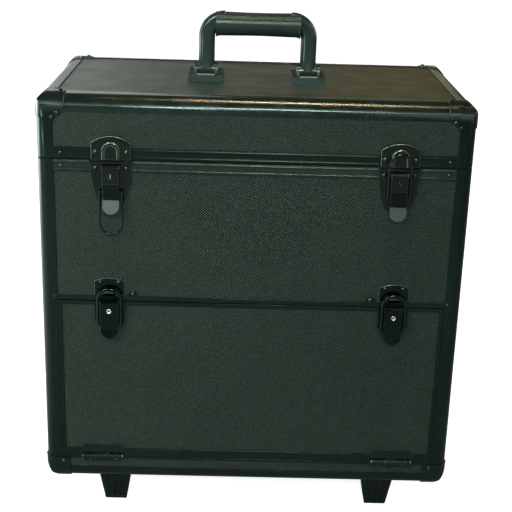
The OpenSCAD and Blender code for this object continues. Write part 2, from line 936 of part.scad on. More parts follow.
module lid_corner_caps() {
    color([0.07, 0.10, 0.09]) place() both_x() both_y() {
        skin(-cap_t, 0) translate([0, 0, z_top + cap_t + 0.5]) mirror([0, 0, 1]) cap_zone(26, 24);
        along_y(panel_y, hd + cap_t) difference() {
            translate([hw - 24, z_top - 25]) square([24 - leg_v, 25 - lid_leg]);
            translate([hw - 24, z_top - 25]) circle(7.5);
        }
    }
}

module lid_rivets() {
    color([0.22, 0.27, 0.25]) place() {
        both_x() both_y() {
            back_rivet(hw - 20, hd + cap_t, z_top - 17, 2.1, 1.2);
            back_rivet(hw - 15, hd + cap_t, z_top - 21.5, 1.7, 1);
            back_rivet(rim_rivet_x, hd, z_lid + rim_h/2, 2, 1.2);
            side_rivet(hw, hd - side_rivet_in, z_lid + rim_h/2, 2, 1.2);
            translate([hw - 22, hd - 14, z_top + cap_t]) rivet(1.9, 1.1);
        }
        both_x() for (dx = [-14, 14]) {
            front_rivet(upper_x + dx, hd + 2.6, z_lid + 7.4, 2.2, 1.2);
            back_rivet(rear_x + dx*1.5, hd + 1.5, z_lid + 14, 2.2, 1.2);
        }
    }
}

module lid_hinge_leaves() {
    color([0.20, 0.23, 0.22]) place() for (x = [-rear_x, rear_x]) {
        translate([x, 0, 0]) leaf(rear_w, 5, 1, rear_r, rear_pin + run, rear_y, z_part,
            z_part + 3.6, z_part + rear_leaf, hd, 1.5);
    }
}

module lid_link_studs() {
    color([0.55, 0.57, 0.56]) place() both_x() {
        rod_x(link_out + 0.3, in_x, rear_y + drive_y, z_part + drive_z, 3);
        rod_x(link_in - 0.3, link_out + 0.4, rear_y + drive_y, z_part + drive_z, rod_r);
        rod_x(link_in - 1, link_in - 0.3, rear_y + drive_y, z_part + drive_z, 3.5);
        rod_x(in_x - 1.2, in_x, rear_y + drive_y, z_part + drive_z, 7);
    }
}

// ---- carrying handle ----

module handle_brackets() {
    color([0.12, 0.16, 0.17]) place() for (x = [-bracket_x, bracket_x]) {
        translate([x, 0, z_top - prof_t]) {
            difference() {
                intersection() {
                    along_x(-17.5, 17.5) taper(46, 44, prof_t + 4.5);
                    along_y(-25, 25) taper(35, 33, prof_t + 4.5);
                }
                block([-8.4, -17, prof_t - 0.2], [8.4, 17, 12]);
            }
            both_x() along_x(15.3, 16.4) translate([0, prof_t + 4.4]) taper(41, 39, 0.8);
            block([-8.6, -19.4, prof_t + 4.4], [8.6, -17.6, prof_t + 5.2]);
            both_x() along_x(8.4, 11.4) {
                translate([0, prof_t + 7]) circle(6.5);
                polygon([[-11, prof_t + 4], [11, prof_t + 4], [6, prof_t + 8.5], [-6, prof_t + 8.5]]);
            }
            rod_x(-8.5, 8.5, 0, prof_t + 7, handle_pin);
        }
    }
}

// stadium section of the handle arms
module arm_section() {
    round_rect(arm_w, arm_t, 5.6);
}

// bent bar of the handle, from the pivots over the two bends
module handle_form() {
    both_x() {
        translate([arm_x, 0, pivot_z]) linear_extrude(bar_z - bend_r - pivot_z) arm_section();
        along_x(arm_x - arm_w/2, arm_x + arm_w/2) translate([0, pivot_z]) circle(arm_t/2);
        translate([arm_x - bend_r, 0, bar_z - bend_r]) rotate([90, 0, 0])
            rotate_extrude(angle = 90) translate([bend_r, 0]) arm_section();
    }
    rod_x(-arm_x + bend_r, arm_x - bend_r, 0, bar_z - 2.3, 5.5);
}

module handle_frame() {
    color([0.07, 0.10, 0.10]) place() difference() {
        handle_form();
        rod_x(-arm_x - 20, arm_x + 20, 0, pivot_z, handle_pin + run);
        both_x() {
            block([bracket_x + 8.2, -20, pivot_z - 10], [bracket_x + 20, 20, pivot_z + 7.5]);
            block([bracket_x - 20, -20, pivot_z - 10], [bracket_x - 8.2, 20, pivot_z + 7.5]);
        }
    }
}

module handle_grip() {
    color([0.08, 0.11, 0.11]) place() difference() {
        rod_x(-grip_half, grip_half, 0, grip_z, grip_d/2);
        handle_form();
    }
}

// ---- door ----

module door_panel() {
    color([0.17, 0.22, 0.19]) place()
        block([-door_x + 1.2, -panel_y, z_door_b + 1.5], [door_x - 1.2, -in_y, z_door_t - 1.4]);
}

module door_trim() {
    za = z_door_b + 0.3;
    zb = z_door_t - 0.2;
    color([0.09, 0.13, 0.12]) place() difference() {
        block([-door_x, -hd, za], [door_x, -in_y + 1, zb]);
        block([-door_x + 3.8, -hd - 1, za + 9], [door_x - 3.8, hd, zb - 3.8]);
        block([-door_x + 1.2, -panel_y, z_door_b + 1.5], [door_x - 1.2, -in_y, z_door_t - 1.4]);
    }
}

module door_hinge_leaves() {
    color([0.20, 0.23, 0.22]) place() for (x = [-sill_x, sill_x]) {
        translate([x, 0, 0]) mirror([0, 1, 0]) leaf(sill_w, 3, 1, sill_r, sill_pin + run, sill_y, sill_z,
            sill_z + 2.7, z_door_b + sill_leaf, hd, 1.2);
    }
}

// ---- lift tray ----

module lift_tray() {
    color([0.07, 0.07, 0.075]) place() {
        difference() {
            block([-tray_x, -tray_front, tray_z], [tray_x, -tray_back, tray_top]);
            block([-tray_x + 2, -tray_front + 2, tray_z + 2], [tray_x - 2, -tray_back - 2, tray_top + 1]);
        }
        for (x = [-tray_x/3, tray_x/3]) {
            block([x - 0.75, -tray_front + 1.5, tray_z + 1.5], [x + 0.75, -tray_back - 1.5, tray_top - 4]);
        }
        both_x() for (y = [-rod_fy, -rod_ry]) {
            difference() {
                block([tray_x - 10, y - 5, rod_z - 4.5], [tray_x, y + 5, tray_z + 0.5]);
                rod_x(tray_x - 20, tray_x + 5, y, rod_z, rod_r + run);
            }
        }
    }
}

// straight arm from the origin to (y, z), drawn in Y and Z
module bar_outline(y, z, r) {
    l = norm([y, z]);
    circle(r);
    translate([y, z]) circle(r);
    rotate(atan2(z, y)) translate([0, 0.8 - r]) square([l, 2*r - 1.6]);
}

module front_swing_arms() {
    color([0.55, 0.57, 0.56]) place() {
        both_x() difference() {
            translate([0, arm_fy, arm_z]) along_x(arm_in, arm_out)
                bar_outline(-rod_fy - arm_fy, rod_z - arm_z, 4);
            rod_x(arm_in - 1, arm_out + 1, arm_fy, arm_z, 2.5 + run);
        }
        rod_x(-arm_out, arm_out, -rod_fy, rod_z, rod_r);
    }
}

module rear_swing_arms() {
    color([0.55, 0.57, 0.56]) place() {
        both_x() difference() {
            translate([0, arm_ry, arm_z]) along_x(arm_in, arm_out) {
                bar_outline(-rod_ry - arm_ry, rod_z - arm_z, 4);
                bar_outline(drive_y, drive_z, 4);
            }
            rod_x(arm_in - 1, arm_out + 1, arm_ry, arm_z, 2.5 + run);
        }
        rod_x(-arm_out, arm_out, -rod_ry, rod_z, rod_r);
        both_x() {
            rod_x(link_in - 0.3, arm_out, arm_ry + drive_y, arm_z + drive_z, rod_r);
            rod_x(link_in - 1, link_in - 0.3, arm_ry + drive_y, arm_z + drive_z, 3.5);
        }
    }
}

module tray_drive_links() {
    ly = rear_y - arm_ry;
    lz = z_part - arm_z;
    color([0.55, 0.57, 0.56]) place() both_x() translate([0, arm_ry + drive_y, arm_z + drive_z])
        along_x(link_in, link_out) difference() {
            bar_outline(ly, lz, 4);
            circle(rod_r + run);
            translate([ly, lz]) circle(rod_r + run);
        }
}

module tray_pins() {
    color([0.62, 0.63, 0.62]) place() both_x() for (y = [arm_fy, arm_ry]) {
        rod_x(arm_in - 0.4, line_x, y, arm_z, 2.5);
        rod_x(arm_in - 1, arm_in - 0.3, y, arm_z, 4);
        rod_x(arm_out + 0.3, line_x, y, arm_z, 6);
    }
}

// ---- output ----

bottom_panel();
back_panel();
left_panel();
right_panel();
front_panel();
mid_shelf();
corner_posts();
base_profiles();
body_rim();
front_rails();
base_corner_caps();
body_rivets();
case_lining();
case_hinge_leaves();
steel_pins();
latch_bases();
door_strikes();
front_feet();
wheel_housings();
trolley_tubes();
trolley_brackets();
tray_pins();
lid_top();
lid_walls();
lid_profiles();
lid_rim();
lid_corner_caps();
lid_rivets();
lid_hinge_leaves();
lid_strikes();
handle_brackets();
lid_link_studs();
handle_frame();
handle_grip();
door_panel();
door_trim();
door_hinge_leaves();
door_latch_bases();
upper_left_lever();
upper_right_lever();
lower_left_lever();
lower_right_lever();
upper_left_bail();
upper_right_bail();
lower_left_bail();
lower_right_bail();
upper_left_plug();
upper_right_plug();
lower_left_plug();
lower_right_plug();
left_wheel();
right_wheel();
trolley_middle_stage();
trolley_inner_stage();
trolley_grip();
trolley_button();
lift_tray();
front_swing_arms();
rear_swing_arms();
tray_drive_links();
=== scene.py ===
"""Looks of the makeup train case: finishes, edges, inner linings, small hardware, light and camera."""

import json
import math

import bmesh
import bpy
from mathutils import Matrix, Vector


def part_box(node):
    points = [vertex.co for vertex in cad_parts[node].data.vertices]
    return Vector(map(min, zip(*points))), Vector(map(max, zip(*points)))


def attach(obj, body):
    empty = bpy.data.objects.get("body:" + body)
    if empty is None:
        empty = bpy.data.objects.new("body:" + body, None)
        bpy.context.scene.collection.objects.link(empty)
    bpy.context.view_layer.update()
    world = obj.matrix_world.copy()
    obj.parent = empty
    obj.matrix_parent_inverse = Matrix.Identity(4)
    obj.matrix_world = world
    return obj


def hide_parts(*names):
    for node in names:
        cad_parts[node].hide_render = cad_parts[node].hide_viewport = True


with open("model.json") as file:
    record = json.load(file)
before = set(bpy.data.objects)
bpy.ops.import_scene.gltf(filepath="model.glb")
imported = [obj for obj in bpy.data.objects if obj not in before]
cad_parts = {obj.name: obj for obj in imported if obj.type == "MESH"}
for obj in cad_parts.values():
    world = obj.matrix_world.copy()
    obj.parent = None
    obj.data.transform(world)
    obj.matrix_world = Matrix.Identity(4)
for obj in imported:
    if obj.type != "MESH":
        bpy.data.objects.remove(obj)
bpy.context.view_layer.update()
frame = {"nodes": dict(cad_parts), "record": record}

MM = 0.001
record = frame["record"]
BODY_OF = {n: b for b, nodes in record["behaviour"]["bodies"].items() for n in nodes}
SLOT_OF = {s["node"]: s["material_slot"] for s in record["subparts"]}

# ---- sizes that follow from the frame ----

lid_lo, lid_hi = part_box("lid_top")
walls_lo, walls_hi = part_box("lid_walls")
door_lo, door_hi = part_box("door_panel")
MID_Y = (lid_lo.y + lid_hi.y) / 2
BOARD = door_hi.y - door_lo.y
CLOTH = 0.7 * MM
FIT = 0.05 * MM
BRACKET_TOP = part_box("handle_brackets")[0].z + 6.4 * MM
GLOSSY_DEPTH = 16 * MM

# ---- limits for picking and joining faces ----

WELD = 1e-6
FLAT = math.radians(0.5)
FACES_UP = 0.9
FACES_BACK = 0.2

# ---- colours that several pieces share ----

PLAIN = (1.0, 1.0, 1.0)
SEA = (0.60, 1.0, 0.86)
MOSS = (0.78, 1.0, 0.86)
NORTH = (0.92, 1.0, 0.98)
DAY = (0.93, 1.0, 0.98)
NOON = (0.96, 1.0, 0.98)
AMBER = (1.0, 0.60, 0.38)

# Grain stretched along one axis, as on drawn or rolled metal.
ALONG_X = (0.04, 1.0, 1.0)
ALONG_Y = (1.0, 0.1, 1.0)
ALONG_Z = (1.0, 1.0, 0.02)


# ---- node graphs ----


class Graph:
    """A material with short calls for the nodes that these finishes use."""

    def __init__(self, name):
        self.material = bpy.data.materials.new(name)
        self.material.use_nodes = True
        self.tree = self.material.node_tree
        self.tree.nodes.clear()
        self.shader = self.add("ShaderNodeBsdfPrincipled")
        output = self.add("ShaderNodeOutputMaterial")
        self.join(self.shader.outputs["BSDF"], output.inputs["Surface"])

    def add(self, kind, **settings):
        node = self.tree.nodes.new(kind)
        for key, value in settings.items():
            setattr(node, key, value)
        return node

    def join(self, a, b):
        self.tree.links.new(a, b)

    def feed(self, socket, value):
        if isinstance(value, bpy.types.NodeSocket):
            self.join(value, socket)
        else:
            socket.default_value = value

    def math(self, kind, a, b=0.0):
        node = self.add("ShaderNodeMath", operation=kind)
        self.feed(node.inputs[0], a)
        self.feed(node.inputs[1], b)
        return node.outputs[0]

    def plus(self, a, b):
        return self.math("ADD", a, b)

    def times(self, a, b):
        return self.math("MULTIPLY", a, b)

    def over(self, a, b):
        return self.math("GREATER_THAN", a, b)

    def under(self, a, b):
        return self.math("LESS_THAN", a, b)

    def place(self):
        """Position on the part and its normal there, both in the part's own space."""
        node = self.add("ShaderNodeTexCoord")
        return node.outputs["Object"], node.outputs["Normal"]

    def split(self, vector):
        node = self.add("ShaderNodeSeparateXYZ")
        self.join(vector, node.inputs[0])
        return node.outputs

    def scaled(self, vector, scale):
        node = self.add("ShaderNodeVectorMath", operation="MULTIPLY")
        self.join(vector, node.inputs[0])
        node.inputs[1].default_value = scale
        return node.outputs[0]

    def noise(self, vector, scale, detail=2.0, rough=0.5):
        node = self.add("ShaderNodeTexNoise")
        self.join(vector, node.inputs["Vector"])
        node.inputs["Scale"].default_value = scale
        node.inputs["Detail"].default_value = detail
        node.inputs["Roughness"].default_value = rough
        return node.outputs["Fac"]

    def span(self, value, low, high, to_low=0.0, to_high=1.0):
        node = self.add("ShaderNodeMapRange", clamp=True)
        self.feed(node.inputs["Value"], value)
        for socket, v in (("From Min", low), ("From Max", high), ("To Min", to_low), ("To Max", to_high)):
            node.inputs[socket].default_value = v
        return node.outputs["Result"]

    def wave(self, value, period):
        """Cosine of a length, from 0 to 1, with that period in metres."""
        turned = self.math("COSINE", self.times(value, 2 * math.pi / period))
        return self.span(turned, -1, 1)

    def blend(self, factor, a, b):
        node = self.add("ShaderNodeMix", data_type="RGBA")
        self.feed(node.inputs["Factor"], factor)
        self.feed(node.inputs["A"], a if not isinstance(a, tuple) else (*a, 1.0))
        self.feed(node.inputs["B"], b if not isinstance(b, tuple) else (*b, 1.0))
        return node.outputs["Result"]

    def bump(self, height, depth, strength=1.0, under=None):
        node = self.add("ShaderNodeBump")
        node.inputs["Strength"].default_value = strength
        node.inputs["Distance"].default_value = depth
        self.feed(node.inputs["Height"], height)
        if under is not None:
            self.join(under, node.inputs["Normal"])
        return node.outputs["Normal"]

    def gloss(self, grain, rough):
        """Roughness that wavers a little with the grain."""
        return self.span(grain, 0.3, 0.7, rough - 0.03, rough + 0.04)

    def set(self, **values):
        for key, value in values.items():
            self.feed(self.shader.inputs[key.replace("_", " ")], value)


def tone(rgb, k):
    """A colour made darker or lighter."""
    return tuple(c * k for c in rgb)


def finish(name, rgb, rough, metal=0.0, spec=0.18, grain=900.0, depth=0.01, brush=None, edge_wear_and_highlight=0.0, tint=PLAIN):
    """A painted, plated or moulded finish: uneven tone, uneven gloss, fine grain and lighter edges, partly
    wear and partly painted highlight.
    """
    g = Graph(name)
    at, _ = g.place()
    cloud = g.noise(at, 14.0, 3.0, 0.55)
    fine_at = g.scaled(at, brush) if brush else at
    fine = g.noise(fine_at, grain, 2.0, 0.6)
    colour = g.blend(g.span(cloud, 0.35, 0.65), tone(rgb, 0.75), tone(rgb, 1.25))
    # Edges lighter where the surface bends sharply: partly wear, partly painted highlight.
    if edge_wear_and_highlight:
        edge = g.add("ShaderNodeNewGeometry").outputs["Pointiness"]
        wear_and_highlight_mask = g.times(g.span(edge, 0.53, 0.62), g.span(g.noise(at, 160.0), 0.4, 0.6))
        colour = g.blend(g.times(wear_and_highlight_mask, edge_wear_and_highlight), colour, tuple(min(1.0, c * 3 + 0.05) for c in rgb))
    handled = g.span(g.noise(at, 60.0, 4.0), 0.3, 0.7, -0.05, 0.05)
    g.set(Base_Color=colour, Metallic=metal, Roughness=g.plus(handled, g.gloss(fine, rough)),
          Specular_IOR_Level=spec, Specular_Tint=(*tint, 1.0), Normal=g.bump(fine, depth * MM))
    return g.material


def highlit_edges_above(name, height, rgb, rough, low=(0.003, 0.009, 0.006)):
    """Lacquer whose edges are painted bright metal above a height on the part, as painted highlight where the
    light falls from above, and left dark below it.
    """
    g = Graph(name)
    at, _ = g.place()
    bright = g.over(g.split(at)[2], height)
    fine = g.noise(g.scaled(at, ALONG_X), 900.0, 2.0, 0.6)
    g.set(Base_Color=g.blend(bright, low, rgb), Metallic=bright, Roughness=g.gloss(fine, rough),
          Specular_IOR_Level=0.4, Normal=g.bump(fine, 0.003 * MM))
    return g.material


def woven_board():
    """Plastic-faced board embossed with fine diagonal rows of dots."""
    row_pitch, dot_pitch = 2.55 * MM, 2.62 * MM
    g = Graph("textured_board")
    at, normal = g.place()
    x, y, z = g.split(at)
    side = g.over(g.math("ABSOLUTE", g.split(normal)[0]), 0.5)
    along = g.add("ShaderNodeMix", data_type="FLOAT")
    g.feed(along.inputs["Factor"], side)
    g.feed(along.inputs["A"], x)
    g.feed(along.inputs["B"], y)
    u = along.outputs["Result"]
    sway = g.span(g.noise(at, 30.0), 0.0, 1.0, -0.5 * MM, 0.5 * MM)
    rows = g.wave(g.plus(g.math("SUBTRACT", u, z), sway), row_pitch)
    dots = g.wave(g.plus(g.plus(u, z), sway), dot_pitch)
    # Painted shade: the gaps between the dots sink darker towards the right, as if the light came from the
    # left.
    gap_and_side_shade = g.times(g.math("SUBTRACT", 1.0, dots), g.span(x, -0.18, 0.18, 0.42, 0.78))
    relief = g.times(rows, g.math("SUBTRACT", 1.0, gap_and_side_shade))
    speck = g.span(g.noise(at, 1300.0, 1.0), 0.35, 0.75)
    cloud = g.span(g.noise(at, 9.0, 3.0), 0.35, 0.65)
    ground = g.blend(cloud, (0.014, 0.027, 0.021), (0.021, 0.032, 0.026))
    # Grooves near black and crests pale with specks: partly the board's pattern, partly painted shade in the
    # hollows and painted highlight on the crests.
    groove = g.blend(g.span(relief, 0.05, 0.45), (0.001, 0.005, 0.003), ground)
    crest = g.times(g.span(relief, 0.35, 0.95), g.span(speck, 0.0, 1.0, 0.12, 1.2))
    g.set(Base_Color=g.blend(crest, groove, (0.180, 0.246, 0.203)),
          Roughness=g.span(relief, 0.0, 1.0, 0.62, 0.42), Specular_IOR_Level=0.15,
          Normal=g.bump(relief, 0.2 * MM, 0.7, g.bump(speck, 0.02 * MM)))
    return g.material


def satin_board():
    """Smooth satin sheet of the lid top, with a slow drift of tone, painted reflected light that runs from
    pale at the left through dark to olive at the right, and a fine orange-peel.
    """
    g = Graph("smooth_board")
    at, _ = g.place()
    x = g.split(at)[0]
    cloud = g.span(g.noise(at, 6.0, 3.0), 0.3, 0.7, -0.1, 0.1)
    # Painted reflection: pale at the left, dark in the middle and warm olive at the right, as the room's
    # light falls on the sheet.
    pale, deep, olive = (0.046, 0.066, 0.050), (0.012, 0.018, 0.011), (0.026, 0.021, 0.004)
    left = g.blend(g.plus(g.span(x, -0.17, -0.05), cloud), pale, deep)
    colour = g.blend(g.plus(g.span(x, -0.02, 0.12), cloud), left, olive)
    peel = g.noise(at, 700.0, 2.0)
    g.set(Base_Color=colour, Roughness=g.span(g.noise(at, 40.0, 4.0), 0.3, 0.7, 0.34, 0.44),
          Specular_IOR_Level=0.3, Specular_Tint=(0.87, 1.0, 0.84, 1.0), Normal=g.bump(peel, 0.012 * MM))
    return g.material


def foam_cloth(name, rgb, pitch):
    """Matt knitted lining glued over thin foam."""
    g = Graph(name)
    at, normal = g.place()
    x, y, z = g.split(at)
    nx, _, nz = (g.math("ABSOLUTE", v) for v in g.split(normal))
    u = g.plus(g.times(x, g.under(nx, 0.5)), g.times(y, g.over(nx, 0.5)))
    v = g.plus(g.times(z, g.under(nz, 0.5)), g.times(y, g.over(nz, 0.5)))
    weave = g.times(g.wave(u, pitch), g.wave(v, pitch))
    fuzz = g.noise(at, 1500.0, 2.0)
    pile = g.plus(g.times(weave, 0.6), g.times(fuzz, 0.5))
    colour = g.blend(g.span(pile, 0.1, 0.9), tone(rgb, 0.6), tone(rgb, 1.5))
    g.set(Base_Color=colour, Roughness=0.9, Specular_IOR_Level=0.2, Sheen_Weight=0.35, Sheen_Roughness=0.5,
          Normal=g.bump(weave, 0.12 * MM, 0.7, g.bump(fuzz, 0.05 * MM)))
    return g.material


# What each material slot of the record looks like; the rest of the slots have graphs of their own.
SLOT_FINISHES = {
    "inner_board": dict(rgb=(0.022, 0.026, 0.024), rough=0.6, grain=400, depth=0.05),
    "profile": dict(rgb=(0.0030, 0.0080, 0.0055), rough=0.22, spec=0.35, grain=700,
                    depth=0.004, edge_wear_and_highlight=0.05, tint=SEA),
    "corner_armour": dict(rgb=(0.0030, 0.0080, 0.0058), rough=0.17, spec=0.4, grain=500,
                          depth=0.005, tint=SEA),
    "rivet": dict(rgb=(0.0012, 0.0035, 0.0026), rough=0.12, spec=1.0, grain=1500, depth=0.001, tint=MOSS),
    "hinge_steel": dict(rgb=(0.0040, 0.0110, 0.0080), rough=0.24, spec=0.35, grain=900,
                        depth=0.005, tint=SEA),
    "bright_steel": dict(rgb=(0.45, 0.46, 0.45), rough=0.28, metal=1.0, grain=500,
                         depth=0.006, brush=ALONG_Y),
    "latch_black": dict(rgb=(0.0036, 0.0072, 0.0050), rough=0.18, spec=0.36, grain=500,
                        depth=0.005, tint=MOSS),
    "bail_wire": dict(rgb=(0.0008, 0.0035, 0.0028), rough=0.12, spec=0.6, grain=900, depth=0.003, tint=SEA),
    "key_plug": dict(rgb=(0.78, 0.80, 0.77), rough=0.22, metal=1.0, grain=1500, depth=0.003),
    "foot_plastic": dict(rgb=(0.0028, 0.0060, 0.0056), rough=0.36, spec=0.3, grain=1100,
                         depth=0.02, tint=SEA),
    "housing_plastic": dict(rgb=(0.010, 0.012, 0.012), rough=0.42, grain=1300, depth=0.04),
    "wheel_rubber": dict(rgb=(0.016, 0.016, 0.016), rough=0.7, grain=1500, depth=0.05),
    "trolley_tube": dict(rgb=(0.10, 0.115, 0.11), rough=0.30, metal=0.9, grain=1400,
                         depth=0.006, brush=ALONG_Z),
    "handle_plastic": dict(rgb=(0.021, 0.037, 0.031), rough=0.19, spec=0.62, grain=260,
                           depth=0.002, tint=MOSS),
    "bracket_steel": dict(rgb=(0.020, 0.034, 0.034), rough=0.22, spec=0.4, grain=500, depth=0.004, tint=SEA),
    "tray_plastic": dict(rgb=(0.020, 0.021, 0.022), rough=0.48, grain=900, depth=0.05),
}
MATERIALS = {
    "textured_board": woven_board(),
    "smooth_board": satin_board(),
    "lining": foam_cloth("lining", (0.022, 0.022, 0.024), 1.1 * MM),
    **{slot: finish(slot, **look) for slot, look in SLOT_FINISHES.items()},
}

# Second looks, for parts of a piece.
# Painted light on the upturned upper lever tips: pale grey as the highlight where they face the light, and a
# darker copy in shade for the right one.
TIP_HIGHLIT = finish("tongue_painted_highlight", (0.13, 0.15, 0.14), 0.34, spec=0.3)
TIP_SHADED = finish("tongue_painted_shade", (0.040, 0.062, 0.054), 0.32, spec=0.3)
NIGHT = finish("latch_lacquer", (0.0006, 0.0020, 0.0014), 0.13, spec=0.3, grain=500, depth=0.004, tint=SEA)
NIGHT_TIP = finish("latch_lacquer_tip", (0.0004, 0.0012, 0.0008), 0.3, spec=0.06, depth=0.006, tint=SEA)
TOP_GLOSS = finish("top_profile", (0.0030, 0.0085, 0.0050), 0.215, spec=1.0, grain=500, depth=0.0005,
                   brush=ALONG_X, tint=(0.74, 1.0, 0.95))
# The painted edge highlights start just under the lid's sheet, and at the top edge of the body's rim.
TOP_EDGE = highlit_edges_above("top_edge", lid_lo.z - 3 * MM, (0.24, 0.29, 0.27), 0.36)
SEAM_EDGE = highlit_edges_above("seam_edge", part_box("body_rim")[1].z - 1 * MM, (0.15, 0.19, 0.175), 0.44)
RIM_LIGHT = finish("rim_satin", (0.0110, 0.0230, 0.0175), 0.26, spec=0.5, grain=700, depth=0.002,
                   brush=ALONG_X, tint=MOSS)
# Bright metal on bevelled edges: partly worn paint, partly painted glints along the edges.
EDGE_WEAR_AND_GLINT = finish("edge_wear_and_glint", (0.24, 0.30, 0.27), 0.34, metal=1.0, depth=0.003)
# Painted shade: the bracket's flat tops are a darker, duller copy of its steel.
TOP_SHADE = finish("bracket_top_shade", (0.010, 0.020, 0.018), 0.5, spec=0.05, grain=500, depth=0.004)
# Painted reflection: the lip's pale beige stands for the white backdrop mirrored in its top.
LIP_REFLECTION = finish("bracket_lip_reflection", (0.46, 0.42, 0.35), 0.3, metal=0.4, grain=700, depth=0.003)
# Painted light for the upper plugs' key slots: bright metal as the highlight in the left slot, and a darker
# copy in shade for the right one.
KEYWAY_HIGHLIT = finish("keyway", (0.34, 0.38, 0.36), 0.3, metal=0.3, spec=0.5, depth=0.003)
KEYWAY_SHADED = finish("keyway_painted_shade", (0.035, 0.055, 0.048), 0.3, spec=0.5, depth=0.003)
GRIP = finish("grip_plastic", (0.029, 0.049, 0.042), 0.29, spec=0.30, grain=260, depth=0.003, tint=MOSS)
HUB = finish("wheel_hub", (0.05, 0.055, 0.055), 0.4, depth=0.02)


# ---- pieces ----


def stand(obj, body, slot, *nodes):
    """Puts a finished piece on its body and hides the nodes that it stands for."""
    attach(obj, body)
    if nodes:
        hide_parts(*nodes)
    return obj


def new_object(name, bm, *materials):
    """Turns a bmesh into an object in the scene, with plain normals."""
    mesh = bpy.data.meshes.new(name)
    bm.to_mesh(mesh)
    bm.free()
    for stale in [a for a in mesh.attributes if a.name == "custom_normal"]:
        mesh.attributes.remove(stale)
    for m in materials:
        mesh.materials.append(m)
    obj = bpy.data.objects.new(name, mesh)
    bpy.context.scene.collection.objects.link(obj)
    return obj


def soften(obj, width, segments=2, angle=32):
    """Smooth shading with small rounded edges."""
    obj.data.shade_smooth()
    obj.data.set_sharp_from_angle(angle=math.radians(angle))
    if width:
        bevel = obj.modifiers.new("edge", "BEVEL")
        bevel.width = width
        bevel.segments = segments
        bevel.limit_method = "ANGLE"
        bevel.angle_limit = math.radians(angle)
        bevel.use_clamp_overlap = True
        bevel.harden_normals = True
    return obj


EDGE_SLOT = 3


def dress(node, width, first=None, second=None, third=None, where=None, edge=None):
    """Replaces a node by its own form with edges rounded by `width` mm; `where` picks a face's material."""
    bm = bmesh.new()
    bm.from_mesh(frame["nodes"][node].data)
    bmesh.ops.remove_doubles(bm, verts=bm.verts, dist=WELD)
    bmesh.ops.dissolve_limit(bm, angle_limit=FLAT, verts=bm.verts, edges=bm.edges)
    for face in bm.faces:
        face.material_index = int(where(face)) if where else 0
    main = first or MATERIALS[SLOT_OF[node]]
    obj = new_object(node + "_dressed", bm, main, second or main, third or main, edge or main)
    soften(obj, width * MM)
    if edge:
        obj.modifiers["edge"].material = EDGE_SLOT
    return stand(obj, BODY_OF[node], SLOT_OF[node], node)


def paint(node):
    """Keeps a node and gives it its finish."""
    data = frame["nodes"][node].data
    data.materials.clear()
    data.materials.append(MATERIALS[SLOT_OF[node]])


def bracket_part(face):
    """Picks the lip in front of the arm as 2, painted pale as a reflection, and the flat tops beside it as 1,
    painted darker as shade.
    """
    lip_reach, lip_drop, arm_x, lip_half, lip_area = 16.9 * MM, 2.5 * MM, 50 * MM, 9 * MM, 4e-5
    at = face.calc_center_median()
    in_front = at.y < MID_Y - lip_reach and at.z > BRACKET_TOP - lip_drop
    if in_front and abs(abs(at.x) - arm_x) < lip_half and face.calc_area() < lip_area:
        return 2
    return 1 if face.normal.z > FACES_UP else 0


def below(node, height):
    """Picks the outer faces of a lever's flared tip."""
    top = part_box(node)[0].z + height
    return lambda face: face.calc_center_median().z < top and face.normal.y < FACES_BACK


def stepped(node, tip, shank):
    """Picks a lever's flared tip as 1 and the part between it and the square plate as 2."""
    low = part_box(node)[0].z

    def part(face):
        if face.normal.y >= FACES_BACK:
            return 0
        height = face.calc_center_median().z - low
        return 1 if height < tip else 2 if height < shank else 0

    return part


def near_axis(node, radius, depth=0.0, plane="xz"):
    """Picks the faces round the axis of a turned node, deeper than its front by `depth`."""
    low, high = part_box(node)
    axis = (low + high) / 2
    return lambda face: (getattr(face.calc_center_median() - axis, plane).length < radius
                         and face.calc_center_median().y > low.y + depth)


def high_on_lid(face):
    """Picks the part of the lid's profiles and caps that mirrors the lamps."""
    return face.calc_center_median().z > lid_hi.z - GLOSSY_DEPTH


for name in SLOT_OF:
    paint(name)

# Width of the rounded edges, in mm.
PLAIN_EDGES = {
    "corner_posts": 0.25, "base_profiles": 0.25, "door_trim": 0.4, "lid_rim": 0.2,
    "front_rails": 0.4, "base_corner_caps": 0.35,
    "handle_frame": 0.5, "front_feet": 0.5, "wheel_housings": 0.8, "trolley_tubes": 0.3,
    "trolley_brackets": 0.8, "trolley_middle_stage": 0.3, "trolley_inner_stage": 0.3,
    "trolley_grip": 0.5, "trolley_button": 0.6,
    "lift_tray": 0.5, "front_swing_arms": 0.3, "rear_swing_arms": 0.3, "tray_drive_links": 0.3,
}
# Edges that get worn bright metal with painted glints, and their widths in mm.
WEAR_AND_GLINT_EDGES = {
    "latch_bases": 0.3, "lid_strikes": 0.45, "case_hinge_leaves": 0.2, "lid_hinge_leaves": 0.25,
    "door_hinge_leaves": 0.35,
}
for name, width in PLAIN_EDGES.items():
    dress(name, width)
for name, width in WEAR_AND_GLINT_EDGES.items():
    dress(name, width, edge=EDGE_WEAR_AND_GLINT)
for name in ("lid_profiles", "lid_corner_caps"):
    dress(name, 0.35, second=TOP_GLOSS, edge=TOP_EDGE, where=high_on_lid)
dress("body_rim", 0.22, first=RIM_LIGHT, edge=SEAM_EDGE)
dress("handle_brackets", 0.3, second=TOP_SHADE, third=LIP_REFLECTION, where=bracket_part, edge=EDGE_WEAR_AND_GLINT)
for name in ("door_strikes", "door_latch_bases"):
    dress(name, 0.25, first=NIGHT, edge=EDGE_WEAR_AND_GLINT)

UPPER_TIP, UPPER_SHANK, LOWER_TIP = 13.6 * MM, 30 * MM, 9 * MM
KEYWAY_RADIUS, KEYWAY_DEPTH, HUB_RADIUS = 2.4 * MM, 0.3 * MM, 16.2 * MM
